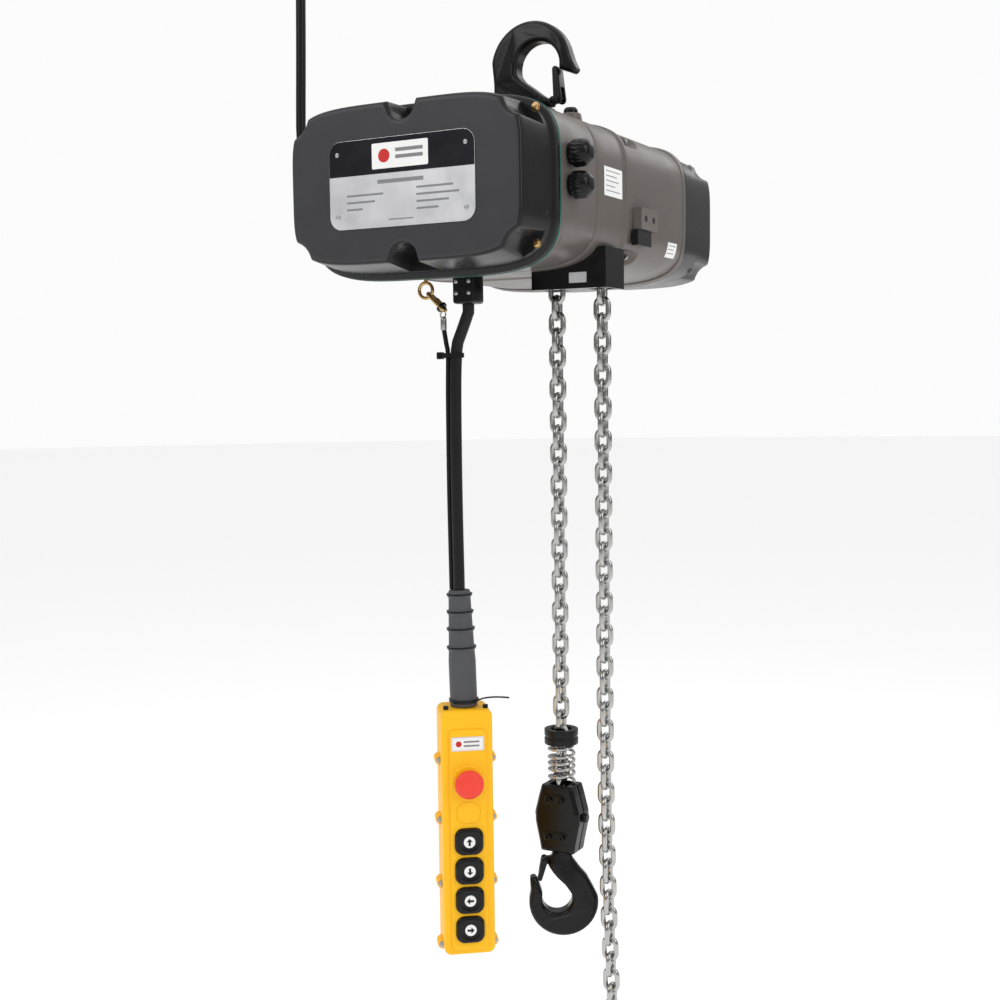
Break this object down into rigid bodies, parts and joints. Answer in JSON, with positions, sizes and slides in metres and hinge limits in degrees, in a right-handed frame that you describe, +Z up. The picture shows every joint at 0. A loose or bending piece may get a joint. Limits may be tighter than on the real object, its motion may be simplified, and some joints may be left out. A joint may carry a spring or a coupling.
{
  "type": "electric chain hoist",
  "caption": "Electric chain hoist with a suspension hook, a load chain with a latched hook on a buffered block, and a hanging push-button pendant.",
  "frame": {"origin": "The point in the top hook's bowl that bears on its support.", "axes": "+X is the side with the two cable glands, +Y runs back along the casing from the plate cover, +Z is up."},
  "size_m": [0.4669, 0.6313, 1.4657],
  "materials": {
    "charcoal_paint": "semi-gloss powder coat",
    "housing_paint": "fine metallic enamel",
    "black_steel": "black oven enamel",
    "bright_steel": "bright zinc plate",
    "machined_steel": "machined",
    "gasket_rubber": "matte",
    "plate_foil": "printed foil",
    "black_plastic": "moulded, half gloss",
    "black_rubber": "matte",
    "grey_rubber": "matte, ribbed",
    "yellow_plastic": "moulded, half gloss",
    "red_plastic": "moulded, half gloss",
    "yellow_zinc": "yellow zinc plate",
    "copper": "varnished winding",
    "brake_lining": "pressed lining"
  },
  "bodies": {
    "casing": {"front_cover": "charcoal_paint", "front_gasket": "gasket_rubber", "nameplate": "plate_foil", "electrical_housing": "housing_paint", "center_housing": "housing_paint", "motor_housing": "housing_paint", "end_shield": "housing_paint", "rear_cover": "charcoal_paint", "side_gland_upper": "black_plastic", "side_gland_lower": "black_plastic", "oil_plug": "black_steel", "power_cable_gland": "black_plastic", "pendant_cable_gland": "black_plastic", "eye_bolt": "yellow_zinc", "snap_hook": "yellow_zinc", "chain_bag_bracket": "housing_paint", "chain_bag_clip": "black_steel", "chain_guide": "black_plastic", "chain_guide_plate": "plate_foil", "stator": "copper", "bearing_front": "bright_steel", "bearing_rear": "bright_steel", "brake_coil": "copper", "contactor": "black_plastic", "transformer": "machined_steel", "terminal_board": "yellow_plastic", "load_chain_upper": "bright_steel", "slack_chain": "bright_steel", "chain_end_stop": "black_rubber", "power_cable": "black_rubber", "power_cable_hanger": "machined_steel"},
    "rotor_assembly": {"rotor": "machined_steel", "motor_pinion": "machined_steel", "brake_disc": "brake_lining"},
    "intermediate_shaft": {"intermediate_gear": "machined_steel"},
    "sheave_assembly": {"load_sheave": "machined_steel", "load_gear": "machined_steel"},
    "suspension_hook": {"top_hook": "black_steel", "top_hook_nut": "machined_steel"},
    "suspension_latch": {"top_latch": "black_steel"},
    "chain_middle_run": {"load_chain_middle": "bright_steel"},
    "load_block": {"hook_block_front": "black_steel", "hook_block_rear": "black_steel", "hook_block_pin": "black_steel", "load_chain_lower": "bright_steel", "buffer_spring": "bright_steel"},
    "stop_ring": {"stop_disc": "black_rubber"},
    "load_hook": {"lower_hook": "black_steel", "lower_hook_nut": "machined_steel"},
    "load_latch": {"lower_latch": "black_steel"},
    "pendant": {"pendant_front": "yellow_plastic", "pendant_back": "yellow_plastic", "cable_boot": "grey_rubber", "pendant_cable": "black_rubber", "strain_wire": "black_rubber"},
    "stop_button": {"emergency_stop": "red_plastic"},
    "key_1": {"button_1": "black_plastic"},
    "key_2": {"button_2": "black_plastic"},
    "key_3": {"button_3": "black_plastic"},
    "key_4": {"button_4": "black_plastic"}
  },
  "joints": [
    {"name": "rotor_spin", "type": "hinge", "parent": "casing", "child": "rotor_assembly", "pos_m": [-0.074, 0.042, -0.196], "axis": [0, 1, 0], "range_deg": [0, 6316]},
    {"name": "intermediate_spin", "type": "hinge", "parent": "casing", "child": "intermediate_shaft", "pos_m": [0.00399, 0, -0.19476], "axis": [0, 1, 0], "range_deg": [-1505, 0]},
    {"name": "sheave_spin", "type": "hinge", "parent": "casing", "child": "sheave_assembly", "pos_m": [0.052, 0, -0.216], "axis": [0, 1, 0], "range_deg": [0, 602.5]},
    {"name": "chain_middle_lift", "type": "slide", "parent": "casing", "child": "chain_middle_run", "axis": [0, 0, 1], "range_m": [0, 0.1685], "deforming": ["load_chain_middle"]},
    {"name": "hook_lift", "type": "slide", "parent": "casing", "child": "load_block", "axis": [0, 0, 1], "range_m": [0, 0.337], "deforming": ["load_chain_lower", "load_chain_upper"]},
    {"name": "top_hook_swivel", "type": "hinge", "parent": "casing", "child": "suspension_hook", "pos_m": [-0.012, 0, -0.084], "axis": [0, 0, 1], "continuous": true},
    {"name": "top_latch_swing", "type": "hinge", "parent": "suspension_hook", "child": "suspension_latch", "pos_m": [0.027, 0, -0.074], "axis": [0, -1, 0], "range_deg": [0, 38], "stiffness_Nm_per_rad": 0.06, "springref_deg": -34.38},
    {"name": "stop_disc_press", "type": "slide", "parent": "load_block", "child": "stop_ring", "axis": [0, 0, -1], "range_m": [0, 0.018], "stiffness_N_per_m": 2500, "springref_m": -0.001, "deforming": ["buffer_spring"]},
    {"name": "load_hook_swivel", "type": "hinge", "parent": "load_block", "child": "load_hook", "pos_m": [0.02, 0, -1.0583], "axis": [0, 0, 1], "continuous": true},
    {"name": "load_latch_swing", "type": "hinge", "parent": "load_hook", "child": "load_latch", "pos_m": [-0.00163, -0.0115, -1.0723], "axis": [0.4695, -0.8829, 0], "range_deg": [0, 24], "stiffness_Nm_per_rad": 0.06, "springref_deg": -34.38},
    {"name": "pendant_swing", "type": "hinge", "parent": "casing", "child": "pendant", "pos_m": [-0.0654, -0.11, -0.3353], "axis": [0, 1, 0], "range_deg": [-12, 12], "deforming": ["pendant_cable", "strain_wire"]},
    {"name": "emergency_stop_press", "type": "slide", "parent": "pendant", "child": "stop_button", "axis": [-0.6018, 0.7986, 0], "range_m": [0, 0.005], "stiffness_N_per_m": 500, "springref_m": -0.002},
    {"name": "button_1_press", "type": "slide", "parent": "pendant", "child": "key_1", "axis": [-0.6018, 0.7986, 0], "range_m": [0, 0.004], "stiffness_N_per_m": 400, "springref_m": -0.002},
    {"name": "button_2_press", "type": "slide", "parent": "pendant", "child": "key_2", "axis": [-0.6018, 0.7986, 0], "range_m": [0, 0.004], "stiffness_N_per_m": 400, "springref_m": -0.002},
    {"name": "button_3_press", "type": "slide", "parent": "pendant", "child": "key_3", "axis": [-0.6018, 0.7986, 0], "range_m": [0, 0.004], "stiffness_N_per_m": 400, "springref_m": -0.002},
    {"name": "button_4_press", "type": "slide", "parent": "pendant", "child": "key_4", "axis": [-0.6018, 0.7986, 0], "range_m": [0, 0.004], "stiffness_N_per_m": 400, "springref_m": -0.002}
  ],
  "couplings": [
    {"joint": "intermediate_spin", "follows": "rotor_spin", "ratio": -0.2381},
    {"joint": "sheave_spin", "follows": "rotor_spin", "ratio": 0.095238},
    {"joint": "hook_lift", "follows": "rotor_spin", "m_per_rad": 0.0030476},
    {"joint": "chain_middle_lift", "follows": "rotor_spin", "m_per_rad": 0.0015238}
  ]
}
